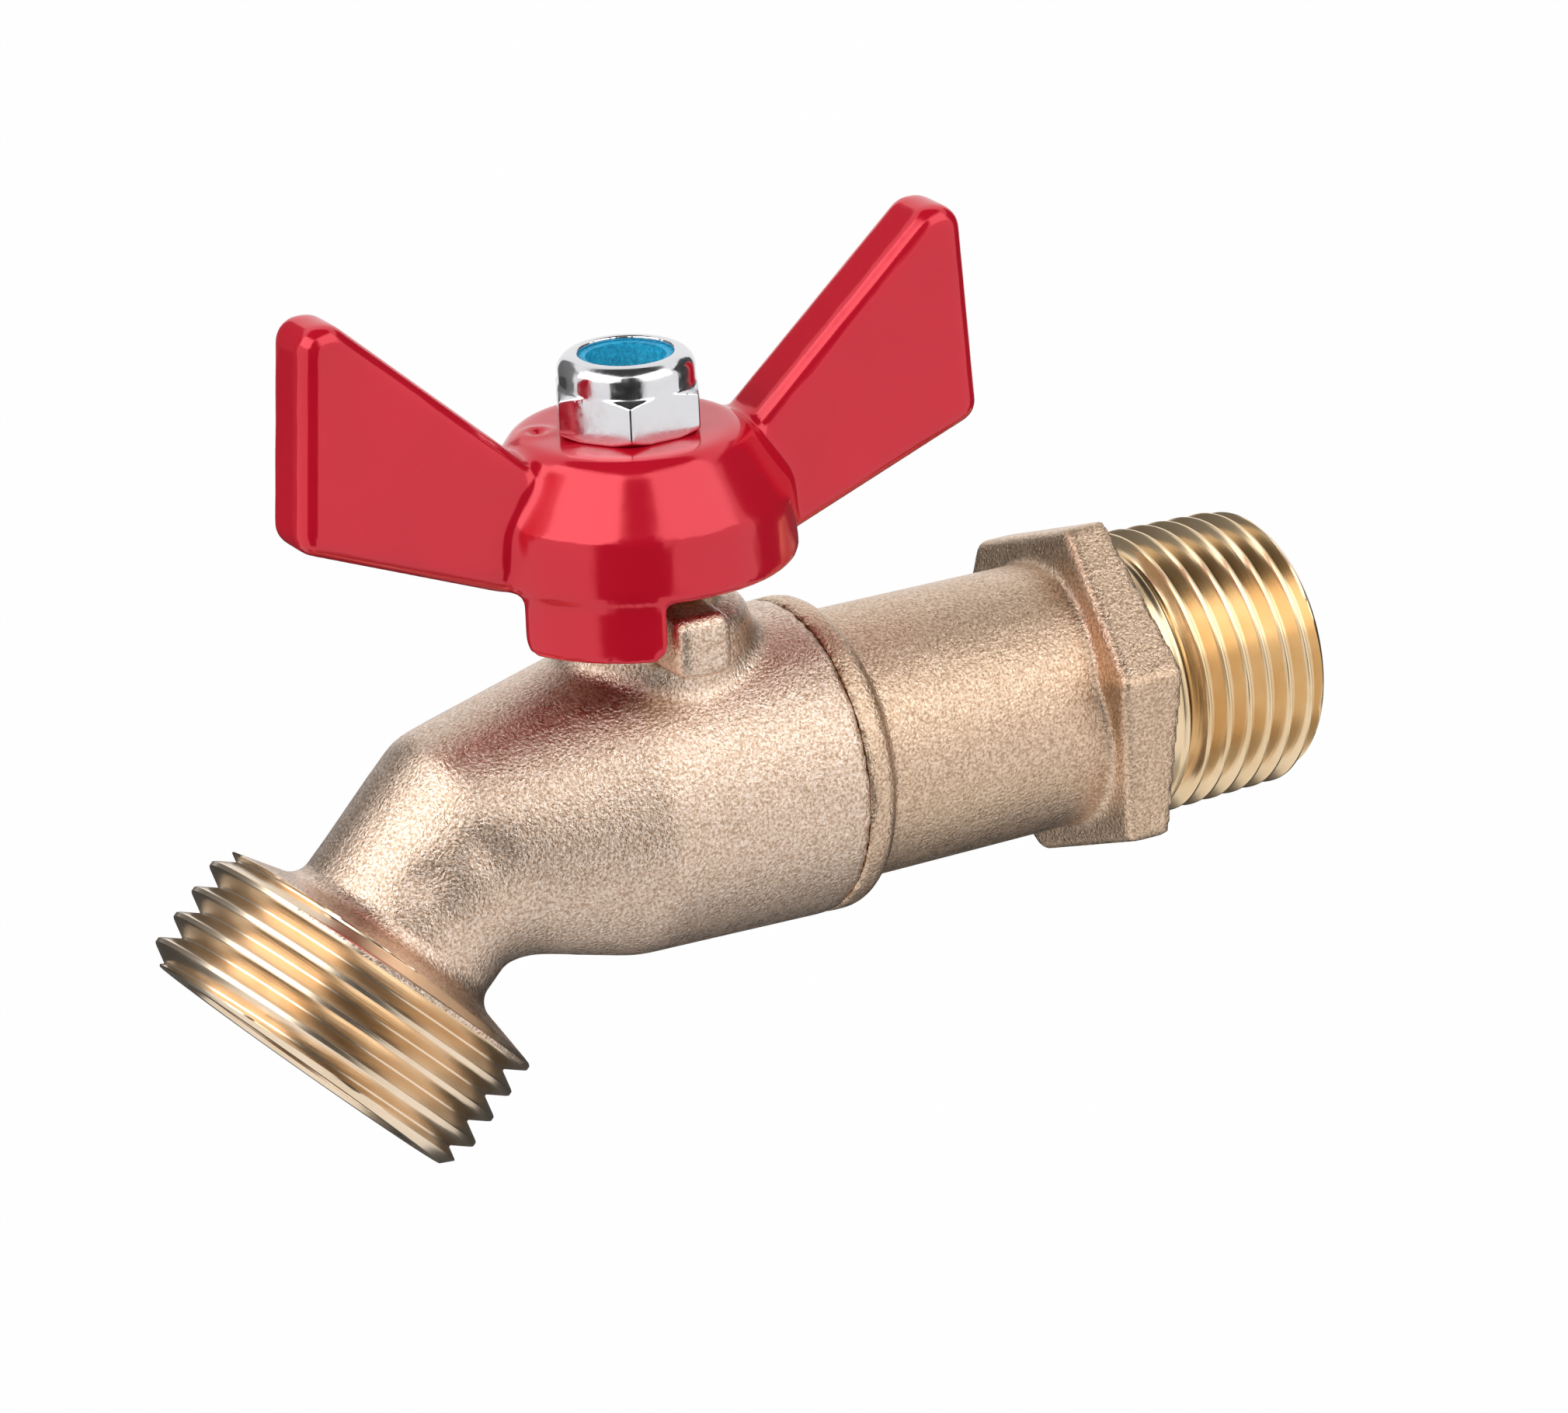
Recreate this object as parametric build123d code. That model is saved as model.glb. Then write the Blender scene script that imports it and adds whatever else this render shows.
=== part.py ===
from build123d import *
import math
import os

# A quarter-turn hose bibb: forged valve body with a bent spout, screwed-in inlet adapter with a hex
# and a pipe thread, ball and stem inside, and a dipped butterfly handle under a locking nut.
# Millimetres. The pieces are modelled about the ball's centre, with +X towards the inlet and +Z up
# the stem, and are shifted at the end so that the origin lies on the inlet thread.

# Clearances
RUNNING_CLEARANCE = 0.05        # between the turning stem and what it turns in
SEATED_CLEARANCE = 0.02         # between pieces that are pressed or screwed together
BALL_CLEARANCE = 0.05           # between the ball and its seats
STOP_GAP = 0.2                  # between the handle's tab and a stop lug at each end of the turn

# Barrel of the valve body, about the X axis
BODY_R = 11.7                   # at the seam
SEAM_X = 12.0                   # end face of the body, where the adapter's collar seats
CONE_START_X = -3.6             # the barrel narrows from here to the spout
CONE_START_R = 11.4
CONE_ROUND = 8.0                # softens the break between barrel and cone
SPOUT_CORNER_X = -15.2          # where the spout's axis leaves the barrel's axis

# Spout and hose end, along the spout's own axis from the corner
SPOUT_ANGLE = 45.5              # degrees below the barrel's axis
SPOUT_R = 7.85
SPOUT_START = 5.4               # the bend has faded into the round spout here
FLARE_FILLET = 1.6
FLARE_SLOPE = 15.0              # degrees, upper side of the hose flange
HOSE_LENGTH = 20.0              # corner to the washer face
HOSE_THREAD_R = 13.45           # outside of the hose thread
HOSE_THREAD_LENGTH = 9.4
HOSE_CHAMFER = 1.2
HOSE_MOUTH_R = 9.5
HOSE_MOUTH_DEPTH = 7.5
MOUTH_CONE_LENGTH = 3.0
SPOUT_BORE_R = 5.5

# Neck and stop lugs
NECK_R = 5.9
NECK_TOP_Z = 19.6
BOSS_R = 6.9                    # wide foot of the neck
BOSS_SHIFT = 1.3                # its centre towards the inlet
BOSS_TOP_Z = 14.5
BOSS_ROUND = 1.7
BOSS_FILLET = 1.8               # where the foot meets the barrel
LUG_WIDTH = 4.4
LUG_REACH = 11.4                # from the stem's axis to the lug's face
LUG_BOTTOM_Z = 11.9
LUG_TOP_Z = 16.6
LUG_ROUND = 0.9

# Inlet adapter, about the X axis
COLLAR_LENGTH = 2.6
COLLAR_ROUND = 1.25
COLLAR_STEP = 1.7               # collar above the tube's start
TUBE_DRAFT = 0.17               # how much the tube narrows towards the thread
TUBE_LENGTH = 18.4
HEX_ACROSS_FLATS = 23.55
HEX_WIDTH = 5.1                 # at the parting line, which runs through two corners
HEX_DRAFT = 8.7                 # degrees, slope of the hex's tube side away from that line
HEX_TURN = 19.5                 # degrees, lean of the upper flat towards +Y
HEX_ROUND = 0.8
RELIEF_R = 10.2
RELIEF_WIDTH = 1.9
INLET_THREAD_R = 10.6           # outside of the pipe thread
INLET_THREAD_LENGTH = 12.5
INLET_CHAMFER = 0.9
INLET_GAUGE = 8.1               # end of the thread to the hand-tight plane
INLET_BORE_R = 6.5
SPIGOT_R = 9.8
SPIGOT_LENGTH = 6.6

# Ball and seats
BALL_R = 8.0
BALL_BORE_R = 4.8
CHAMBER_R = 8.8
SEAT_R = 7.9
SEAT_BORE_R = 5.0
SEAT_FRONT = 4.2                # ball's centre to the seat's face on the ball side
SEAT_BACK = 7.4
SLOT_WIDTH = 3.6
SLOT_DEPTH = 2.0

# Stem, packing and gland
STEM_R = 3.5
TANG_CLEARANCE = 0.1
TANG_LENGTH = 7.0
SHOULDER_R = 4.6
SHOULDER_HEIGHT = 1.8
SHOULDER_LIFT = 0.3             # shoulder above the ball's top
SHOULDER_CLEARANCE = 0.15
WASHER_HEIGHT = 1.0
PACKING_R = 4.6
PACKING_HEIGHT = 1.9
PACKING_FLOOR_Z = 13.0
GLAND_R = 4.9
GLAND_HEAD_ACROSS_FLATS = 12.0
GLAND_HEAD_HEIGHT = 3.0
STUD_R = 3.0
STUD_FLATS = 4.4                # across the two flats that turn the handle
STUD_TOP_Z = 31.0
STUD_CHAMFER = 0.5

# Handle
HANDLE_TURN = -2.2              # degrees, wings against the pipe line at the open stop
HUB_TOP_Z = 27.75
HUB_TOP_R = 8.25                # where the flat top would meet the cone
HUB_BREAK_R = 11.45             # end of the cone
HUB_BREAK_Z = 22.7
HUB_SKIRT_R = 11.8              # lower rim of the skirt
HUB_BOTTOM_Z = 17.95
HUB_WALL = 2.2
HUB_FLOOR = 3.2
HUB_TOP_ROUND = 1.9
HUB_BREAK_ROUND = 1.5
HUB_RIM_ROUND = 0.6
TAB_BOTTOM_Z = 13.7
TAB_INSET = 0.3                 # the tab's face behind the skirt's rim
TAB_START = 197.8               # degrees from the wing that points to the inlet
TAB_WIDTH = 55.8
TAB_ROUND = 1.4
CLOSING_TURN = 90.0
WING_THICKNESS = 5.6
WING_ROUND = 1.4
WING_ROOT_X = 7.6
WING_ROOT_Z = 25.85
WING_HEEL_Z = 18.0              # lower edge of the wing at the skirt
WING_TIP_X = 26.3
WING_TIP_Z = 40.1
WING_TIP_R = 1.8
WING_CREST_X = 23.5
WING_FOOT_X = 27.35
WING_FOOT_Z = 24.0
WING_FOOT_R = 1.6

# Locking nut and its insert
NUT_ACROSS_FLATS = 10.0
NUT_HEX_HEIGHT = 3.4
NUT_HEIGHT = 5.6
NUT_COLLAR_R = 4.95
NUT_COLLAR_ROUND = 1.25
NUT_CHAMFER_ANGLE = 30.0
NUT_RIM_R = 3.43
NUT_LIP = 0.35
NUT_TURN = -117.7               # degrees, direction of one corner
INSERT_R = 4.3
INSERT_BORE_R = 2.9
INSERT_HEIGHT = 1.7


def turned_x(points):
    """Solid of revolution about the X axis from (x, radius) points."""
    return revolve(Plane.XZ * make_face(Polyline(*points, close=True)), Axis.X)


def turned_z(points):
    """Solid of revolution about the Z axis from (radius, z) points."""
    return revolve(Plane.XZ * make_face(Polyline(*points, close=True)), Axis.Z)


def disc_z(radius, low, high):
    return Pos(0, 0, low) * Cylinder(radius, high - low, align=(Align.CENTER, Align.CENTER, Align.MIN))


def hexagon_radius(across_flats):
    return across_flats / math.sqrt(3)


# Places worked out from the sizes above
collar_end_x = SEAM_X + COLLAR_LENGTH
tube_r = BODY_R - COLLAR_STEP - TUBE_DRAFT
hex_start_x = collar_end_x + TUBE_LENGTH
hex_end_x = hex_start_x + HEX_WIDTH
thread_start_x = hex_end_x + RELIEF_WIDTH
inlet_end_x = thread_start_x + INLET_THREAD_LENGTH
spigot_end_x = SEAM_X - SPIGOT_LENGTH
half_bend = math.radians(SPOUT_ANGLE / 2)
spout_angle = math.radians(SPOUT_ANGLE)
spout_plane = Plane(
    origin=(SPOUT_CORNER_X, 0, 0),
    x_dir=(0, 1, 0),
    z_dir=(-math.cos(spout_angle), 0, -math.sin(spout_angle)),
)
mitre_plane = Plane(
    origin=(SPOUT_CORNER_X, 0, 0),
    x_dir=(0, 1, 0),
    z_dir=(-math.cos(half_bend), 0, -math.sin(half_bend)),
)
mitre_top_x = SPOUT_CORNER_X - SPOUT_R * math.tan(half_bend)
cone_rate = (CONE_START_R - SPOUT_R) / (CONE_START_X - mitre_top_x)

mitre_r = CONE_START_R - cone_rate * (CONE_START_X - SPOUT_CORNER_X)
mitre_up = mitre_r / (math.cos(half_bend) + cone_rate * math.sin(half_bend))
mitre_down = mitre_r / (math.cos(half_bend) - cone_rate * math.sin(half_bend))
flange_start = HOSE_LENGTH - HOSE_THREAD_LENGTH
flare_start = flange_start - (HOSE_THREAD_R - SPOUT_R) * math.tan(math.radians(FLARE_SLOPE))
slot_floor_z = BALL_R - SLOT_DEPTH
shoulder_z = BALL_R + SHOULDER_LIFT
washer_z = shoulder_z + SHOULDER_HEIGHT
web_z = washer_z + WASHER_HEIGHT
gland_z = PACKING_FLOOR_Z + 2 * PACKING_HEIGHT
hub_ceiling_z = HUB_TOP_Z - HUB_FLOOR
cup_r = HUB_SKIRT_R - HUB_WALL
hub_lean = (HUB_BREAK_R - HUB_TOP_R) / (HUB_TOP_Z - HUB_BREAK_Z)
tab_r = HUB_SKIRT_R - TAB_INSET
tab_start = TAB_START + HANDLE_TURN
tab_end = tab_start + TAB_WIDTH
lug_spread = math.degrees(math.asin((LUG_WIDTH / 2 + STOP_GAP) / cup_r))
lug_angles = [tab_end + lug_spread, tab_start - CLOSING_TURN - lug_spread]


def valve_body():
    """Barrel, mitred spout with its hose flange, stem neck and stop lugs, bored through."""
    profile = make_face(Polyline(
        (SEAM_X, 0),
        (SEAM_X, BODY_R),
        (CONE_START_X, CONE_START_R),
        (mitre_top_x, SPOUT_R),
        (mitre_top_x, 0),
        close=True,
    ))
    cone_corner = profile.vertices().sort_by_distance((CONE_START_X, CONE_START_R, 0))[0]
    barrel = revolve(Plane.XZ * fillet(cone_corner, CONE_ROUND), Axis.X)
    barrel = split(barrel, bisect_by=mitre_plane, keep=Keep.BOTTOM)

    # The barrel's cone meets the mitre plane in an ellipse, which fades into the round spout.
    centre_up = (mitre_up - mitre_down) / 2
    centre_r = mitre_r - cone_rate * math.sin(half_bend) * centre_up
    half_width = math.sqrt(centre_r ** 2 - (math.cos(half_bend) * centre_up) ** 2)
    mitre_face = mitre_plane * Pos(0, -centre_up) * Ellipse(half_width, (mitre_up + mitre_down) / 2)
    spout_face = spout_plane * Pos(0, 0, SPOUT_START) * Circle(SPOUT_R)
    bend = loft([mitre_face, spout_face], ruled=True)

    profile = make_face(Polyline(
        (0, SPOUT_START),
        (SPOUT_R, SPOUT_START),
        (SPOUT_R, flare_start),
        (HOSE_THREAD_R, flange_start),
        (HOSE_THREAD_R, HOSE_LENGTH - HOSE_CHAMFER),
        (HOSE_THREAD_R - HOSE_CHAMFER, HOSE_LENGTH),
        (0, HOSE_LENGTH),
        close=True,
    ))
    flare_corner = profile.vertices().sort_by_distance((SPOUT_R, flare_start, 0))[0]
    profile = fillet(flare_corner, FLARE_FILLET)
    spout = spout_plane.location * revolve(Plane.XZ * profile, Axis.Z)

    boss = disc_z(BOSS_R, 0, BOSS_TOP_Z)
    boss = Pos(BOSS_SHIFT, 0, 0) * fillet(boss.edges().sort_by(Axis.Z)[-1], BOSS_ROUND)
    outside = barrel + boss
    root_edges = outside.edges().filter_by(
        lambda e: 0 < e.center().Z < BODY_R
        and all(abs(math.hypot(v.X - BOSS_SHIFT, v.Y) - BOSS_R) < 0.01 for v in e.vertices())
    )
    outside = fillet(root_edges, BOSS_FILLET)
    outside = outside + disc_z(NECK_R, 0, NECK_TOP_Z) + bend + spout
    for angle in lug_angles:
        outside += Rot(0, 0, angle) * stop_lug()

    # Adapter socket, ball chamber and outlet seat pocket
    outside -= turned_x([
        (SEAM_X, 0),
        (SEAM_X, SPIGOT_R + SEATED_CLEARANCE),
        (spigot_end_x, SPIGOT_R + SEATED_CLEARANCE),
        (spigot_end_x, CHAMBER_R),
        (-spigot_end_x, CHAMBER_R),
        (-spigot_end_x, SEAT_R + SEATED_CLEARANCE),
        (-SEAT_BACK, SEAT_R + SEATED_CLEARANCE),
        (-SEAT_BACK, SEAT_BORE_R),
        (SPOUT_CORNER_X, SEAT_BORE_R),
        (SPOUT_CORNER_X, 0),
    ])
    # Waterway round the bend and out through the hose end
    outside -= Pos(SPOUT_CORNER_X, 0, 0) * Sphere(SPOUT_BORE_R)
    mouth_floor = HOSE_LENGTH - HOSE_MOUTH_DEPTH
    outside -= spout_plane.location * turned_z([
        (0, 0),
        (SPOUT_BORE_R, 0),
        (SPOUT_BORE_R, mouth_floor - MOUTH_CONE_LENGTH),
        (HOSE_MOUTH_R, mouth_floor),
        (HOSE_MOUTH_R, HOSE_LENGTH),
        (0, HOSE_LENGTH),
    ])
    # Stem hole, packing box and gland socket
    outside -= turned_z([
        (0, 0),
        (SHOULDER_R + SHOULDER_CLEARANCE, 0),
        (SHOULDER_R + SHOULDER_CLEARANCE, web_z),
        (STEM_R + RUNNING_CLEARANCE, web_z),
        (STEM_R + RUNNING_CLEARANCE, PACKING_FLOOR_Z),
        (PACKING_R + SEATED_CLEARANCE, PACKING_FLOOR_Z),
        (PACKING_R + SEATED_CLEARANCE, gland_z),
        (GLAND_R + SEATED_CLEARANCE, gland_z),
        (GLAND_R + SEATED_CLEARANCE, NECK_TOP_Z),
        (0, NECK_TOP_Z),
    ])
    return outside


def stop_lug():
    """One rounded block on the neck, reaching out along +X."""
    block = Box(LUG_REACH, LUG_WIDTH, LUG_TOP_Z - LUG_BOTTOM_Z, align=(Align.MIN, Align.CENTER, Align.MIN))
    block = Pos(0, 0, LUG_BOTTOM_Z) * block
    outer_edges = block.edges().filter_by(lambda e: e.center().X > LUG_REACH / 4)
    return fillet(outer_edges, LUG_ROUND)


def inlet_adapter():
    """Spigot, collar, drafted tube, hex and pipe thread, bored through."""
    profile = make_face(Polyline(
        (spigot_end_x, 0),
        (spigot_end_x, SPIGOT_R),
        (SEAM_X, SPIGOT_R),
        (SEAM_X, BODY_R),
        (collar_end_x, BODY_R),
        (collar_end_x, BODY_R - COLLAR_STEP),
        (hex_end_x, tube_r),
        (hex_end_x, RELIEF_R),
        (thread_start_x, RELIEF_R),
        (thread_start_x, INLET_THREAD_R),
        (inlet_end_x - INLET_CHAMFER, INLET_THREAD_R),
        (inlet_end_x, INLET_THREAD_R - INLET_CHAMFER),
        (inlet_end_x, 0),
        close=True,
    ))
    collar_corner = profile.vertices().sort_by_distance((collar_end_x, BODY_R, 0))[0]
    profile = fillet(collar_corner, COLLAR_ROUND)
    adapter = revolve(Plane.XZ * profile, Axis.X)

    # The hex's tube side slopes away from the parting line on both sides.
    hex_plane = Plane(origin=(hex_start_x, 0, 0), x_dir=(0, 1, 0), z_dir=(1, 0, 0))
    corner_r = hexagon_radius(HEX_ACROSS_FLATS)
    drop = corner_r * math.tan(math.radians(HEX_DRAFT))
    roof = extrude(
        Plane.YZ * make_face(Polyline(
            (0, 0),
            (corner_r, drop),
            (corner_r, HEX_WIDTH),
            (-corner_r, HEX_WIDTH),
            (-corner_r, drop),
            close=True,
        )),
        corner_r,
        both=True,
    )
    hex_block = extrude(RegularPolygon(HEX_ACROSS_FLATS / 2, 6, major_radius=False), HEX_WIDTH)
    hex_block &= roof
    corners = hex_block.edges().filter_by(Axis.Z)
    tube_side = hex_block.edges().filter_by(
        lambda e: e.center().Z < HEX_WIDTH / 2 and math.hypot(e.center().X, e.center().Y) > tube_r
    ) - corners
    hex_block = fillet(tube_side + corners, HEX_ROUND)
    adapter += hex_plane.location * Rot(0, 0, -HEX_TURN) * hex_block

    return adapter - turned_x([
        (spigot_end_x, 0),
        (spigot_end_x, SEAT_R + SEATED_CLEARANCE),
        (SEAT_BACK, SEAT_R + SEATED_CLEARANCE),
        (SEAT_BACK, INLET_BORE_R),
        (inlet_end_x, INLET_BORE_R),
        (inlet_end_x, 0),
    ])


def ball():
    """Floating ball with its waterway along X and the stem's slot across its top."""
    sphere = Sphere(BALL_R)
    bore = Rot(0, 90, 0) * Cylinder(BALL_BORE_R, 4 * BALL_R)
    slot = Pos(0, 0, slot_floor_z) * Box(
        SLOT_WIDTH, 4 * BALL_R, BALL_R, align=(Align.CENTER, Align.CENTER, Align.MIN)
    )
    return sphere - bore - slot


def seat():
    """Ring on the +X side of the ball, hollowed to the ball's curve."""
    curve_r = BALL_R + BALL_CLEARANCE
    front_angle = math.acos(SEAT_FRONT / curve_r)
    bore_angle = math.asin(SEAT_BORE_R / curve_r)
    arc_points = [
        (curve_r * math.cos(angle), curve_r * math.sin(angle))
        for angle in (front_angle, (front_angle + bore_angle) / 2, bore_angle)
    ]
    sides = Polyline(
        arc_points[2],
        (SEAT_BACK, SEAT_BORE_R),
        (SEAT_BACK, SEAT_R),
        (SEAT_FRONT, SEAT_R),
        arc_points[0],
    )
    return revolve(Plane.XZ * make_face(sides + ThreePointArc(*arc_points)), Axis.X)


def ring_z(outer, inner, low, high):
    return disc_z(outer, low, high) - disc_z(inner, low, high)


def stem():
    """Tang, blow-out shoulder, shaft and a flatted stud for the handle and nut."""
    shaft = turned_z([
        (0, shoulder_z),
        (SHOULDER_R, shoulder_z),
        (SHOULDER_R, washer_z),
        (STEM_R, washer_z),
        (STEM_R, hub_ceiling_z),
        (STUD_R, hub_ceiling_z),
        (STUD_R, STUD_TOP_Z - STUD_CHAMFER),
        (STUD_R - STUD_CHAMFER, STUD_TOP_Z),
        (0, STUD_TOP_Z),
    ])
    tang_z = slot_floor_z + TANG_CLEARANCE
    tang = Pos(0, 0, tang_z) * Box(
        SLOT_WIDTH - 2 * TANG_CLEARANCE,
        TANG_LENGTH,
        shoulder_z - tang_z,
        align=(Align.CENTER, Align.CENTER, Align.MIN),
    )
    return shaft + tang - Rot(0, 0, HANDLE_TURN) * stud_flats(STUD_FLATS / 2)


def stud_flats(reach):
    """The two blocks that flatten the stud, each starting this far from its axis."""
    block = Box(4 * STUD_R, 2 * STUD_R, STUD_TOP_Z, align=(Align.CENTER, Align.MIN, Align.MIN))
    one = Pos(0, reach, hub_ceiling_z) * block
    return one + Rot(0, 0, 180) * one


def gland_nut():
    """Screwed into the neck, pressing the packing, with a hex head under the handle."""
    threaded = disc_z(GLAND_R, gland_z, NECK_TOP_Z)
    head = extrude(RegularPolygon(GLAND_HEAD_ACROSS_FLATS / 2, 6, major_radius=False), GLAND_HEAD_HEIGHT)
    nut = threaded + Pos(0, 0, NECK_TOP_Z) * head
    return nut - disc_z(STEM_R + RUNNING_CLEARANCE, gland_z, NECK_TOP_Z + GLAND_HEAD_HEIGHT)


def wing():
    """The wing on the +X side, a plate with rounded edges whose root lies inside the hub."""
    root_x = (HUB_SKIRT_R + cup_r) / 2
    outline = make_face(Polyline(
        (root_x, WING_HEEL_Z),
        (HUB_SKIRT_R, WING_HEEL_Z),
        (WING_FOOT_X, WING_FOOT_Z),
        (WING_TIP_X, WING_TIP_Z),
        (WING_CREST_X, WING_TIP_Z),
        (WING_ROOT_X, WING_ROOT_Z),
        (root_x, HUB_BREAK_Z),
        close=True,
    ))
    for place, radius in (
        ((WING_FOOT_X, WING_FOOT_Z, 0), WING_FOOT_R),
        ((WING_TIP_X, WING_TIP_Z, 0), WING_TIP_R),
        ((WING_CREST_X, WING_TIP_Z, 0), WING_TIP_R),
    ):
        outline = fillet(outline.vertices().sort_by_distance(place)[0], radius)
    plate = extrude(Plane.XZ * outline, WING_THICKNESS / 2, both=True)
    free_edges = plate.edges().filter_by(
        lambda e: abs(abs(e.center().Y) - WING_THICKNESS / 2) < 0.01 and e.center().X > HUB_SKIRT_R
    )
    return fillet(free_edges, WING_ROUND)


def butterfly_handle():
    """Hub cup with a stop tab on its rim and two wings, on the stud's flats."""
    cup_break_z = HUB_BREAK_Z - HUB_WALL * hub_lean / 2
    profile = make_face(Polyline(
        (0, hub_ceiling_z),
        (cup_r - hub_lean * (hub_ceiling_z - cup_break_z), hub_ceiling_z),
        (cup_r, cup_break_z),
        (cup_r, HUB_BOTTOM_Z),
        (HUB_SKIRT_R, HUB_BOTTOM_Z),
        (HUB_BREAK_R, HUB_BREAK_Z),
        (HUB_TOP_R, HUB_TOP_Z),
        (0, HUB_TOP_Z),
        close=True,
    ))
    for place, radius in (
        ((HUB_SKIRT_R, HUB_BOTTOM_Z, 0), HUB_RIM_ROUND),
        ((HUB_BREAK_R, HUB_BREAK_Z, 0), HUB_BREAK_ROUND),
        ((HUB_TOP_R, HUB_TOP_Z, 0), HUB_TOP_ROUND),
    ):
        profile = fillet(profile.vertices().sort_by_distance(place)[0], radius)
    hub = revolve(Plane.XZ * profile, Axis.Z)

    tab_face = Plane.XZ * make_face(Polyline(
        (cup_r, TAB_BOTTOM_Z),
        (tab_r, TAB_BOTTOM_Z),
        (tab_r, HUB_BREAK_Z),
        (cup_r, HUB_BREAK_Z),
        close=True,
    ))
    tab = revolve(tab_face, Axis.Z, TAB_WIDTH)
    low_corners = tab.edges().filter_by(GeomType.LINE).filter_by(
        lambda e: abs(e.center().Z - TAB_BOTTOM_Z) < 0.01
    )
    tab = fillet(low_corners, TAB_ROUND)

    handle = hub + wing() + Rot(0, 0, 180) * wing() + Rot(0, 0, TAB_START) * tab
    hole = disc_z(STUD_R + SEATED_CLEARANCE, hub_ceiling_z, HUB_TOP_Z)
    hole -= stud_flats(STUD_FLATS / 2 + SEATED_CLEARANCE)
    return Rot(0, 0, HANDLE_TURN) * (handle - hole)


def lock_nut():
    """Hex with chamfered corners and a round collar that is rolled over the insert."""
    hex_block = extrude(RegularPolygon(NUT_ACROSS_FLATS / 2, 6, major_radius=False), NUT_HEX_HEIGHT)
    corner_r = hexagon_radius(NUT_ACROSS_FLATS)
    flat_r = NUT_ACROSS_FLATS / 2
    corner_drop = (corner_r - flat_r) * math.tan(math.radians(NUT_CHAMFER_ANGLE))
    hex_block &= turned_z([
        (0, 0),
        (flat_r, 0),
        (corner_r, corner_drop),
        (corner_r, NUT_HEX_HEIGHT - corner_drop),
        (flat_r, NUT_HEX_HEIGHT),
        (0, NUT_HEX_HEIGHT),
    ])
    collar = disc_z(NUT_COLLAR_R, 0, NUT_HEIGHT)
    collar = fillet(collar.edges().sort_by(Axis.Z)[-1], NUT_COLLAR_ROUND)
    nut = Rot(0, 0, NUT_TURN) * hex_block + collar
    insert_top = NUT_HEIGHT - NUT_LIP
    nut -= turned_z([
        (0, 0),
        (STUD_R + SEATED_CLEARANCE, 0),
        (STUD_R + SEATED_CLEARANCE, insert_top - INSERT_HEIGHT),
        (INSERT_R + SEATED_CLEARANCE, insert_top - INSERT_HEIGHT),
        (INSERT_R + SEATED_CLEARANCE, insert_top),
        (NUT_RIM_R, insert_top),
        (NUT_RIM_R, NUT_HEIGHT),
        (0, NUT_HEIGHT),
    ])
    return Pos(0, 0, HUB_TOP_Z) * nut


def nut_insert():
    top = HUB_TOP_Z + NUT_HEIGHT - NUT_LIP
    return ring_z(INSERT_R, INSERT_BORE_R, top - INSERT_HEIGHT, top)


packing_bore = STEM_R + RUNNING_CLEARANCE
packing_step_z = PACKING_FLOOR_Z + PACKING_HEIGHT
pieces = {
    "valve_body": valve_body(),
    "inlet_adapter": inlet_adapter(),
    "ball": ball(),
    "inlet_seat": seat(),
    "outlet_seat": mirror(seat(), Plane.YZ),
    "stem": stem(),
    "thrust_washer": ring_z(SHOULDER_R, packing_bore, washer_z, web_z),
    "packing_lower": ring_z(PACKING_R, packing_bore, PACKING_FLOOR_Z, packing_step_z),
    "packing_upper": ring_z(PACKING_R, packing_bore, packing_step_z, gland_z),
    "gland_nut": gland_nut(),
    "butterfly_handle": butterfly_handle(),
    "lock_nut": lock_nut(),
    "nut_insert": nut_insert(),
}

# The origin lies on the inlet thread's axis, in its hand-tight plane.
to_inlet = Pos(INLET_GAUGE - inlet_end_x, 0, 0)
os.makedirs("parts", exist_ok=True)
for name, piece in pieces.items():
    export_step(to_inlet * piece, f"parts/{name}.step")
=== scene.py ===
import math

import bmesh
import bpy
from mathutils import Matrix, Vector


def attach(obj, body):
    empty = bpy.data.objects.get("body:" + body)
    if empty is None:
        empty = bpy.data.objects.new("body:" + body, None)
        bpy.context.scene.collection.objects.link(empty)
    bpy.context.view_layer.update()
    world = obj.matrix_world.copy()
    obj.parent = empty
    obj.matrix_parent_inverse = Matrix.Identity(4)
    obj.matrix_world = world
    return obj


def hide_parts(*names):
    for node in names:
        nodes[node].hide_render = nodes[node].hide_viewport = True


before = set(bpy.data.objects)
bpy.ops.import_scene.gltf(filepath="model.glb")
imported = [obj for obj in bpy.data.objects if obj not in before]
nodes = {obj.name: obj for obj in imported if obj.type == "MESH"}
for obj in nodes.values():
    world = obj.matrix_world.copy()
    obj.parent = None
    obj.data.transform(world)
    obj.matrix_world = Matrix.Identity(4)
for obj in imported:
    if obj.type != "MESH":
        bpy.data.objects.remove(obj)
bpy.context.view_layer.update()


# Valve body: one brass forging with the barrel, the bent spout, the stem neck and the two stop lugs.
# It is shot-blasted all over, then bored, and its hose thread is cut on the lathe, so the blasted skin
# is fine-grained and soft at the edges while the thread is bright.
mm = 0.001
body_grain = 0.36 * mm
body_soft_passes = 7
spout_lean = math.radians(45.5)
spout_corner = Vector((-59.6, 0, 0)) * mm
spout_way = Vector((-math.cos(spout_lean), 0, -math.sin(spout_lean)))
spout_side = Vector((0, 1, 0))
spout_place = Matrix((spout_side, spout_way.cross(spout_side), spout_way)).transposed().to_4x4()
spout_place.translation = spout_corner
bend_way = Vector((-math.cos(spout_lean / 2), 0, -math.sin(spout_lean / 2)))
bend_reach = 2.6 * mm
bend_soft_passes = 26
dent_places = (Vector((-61.5, -7.9, 1.6)) * mm, Vector((-65.8, -6.6, 0)) * mm)
dent_r = 1.5 * mm
dent_depth = 0.28 * mm
dent_reach = 3
spout_r = 7.85 * mm
spout_bore_r = 5.5 * mm
spout_cut = 6.6 * mm
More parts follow.
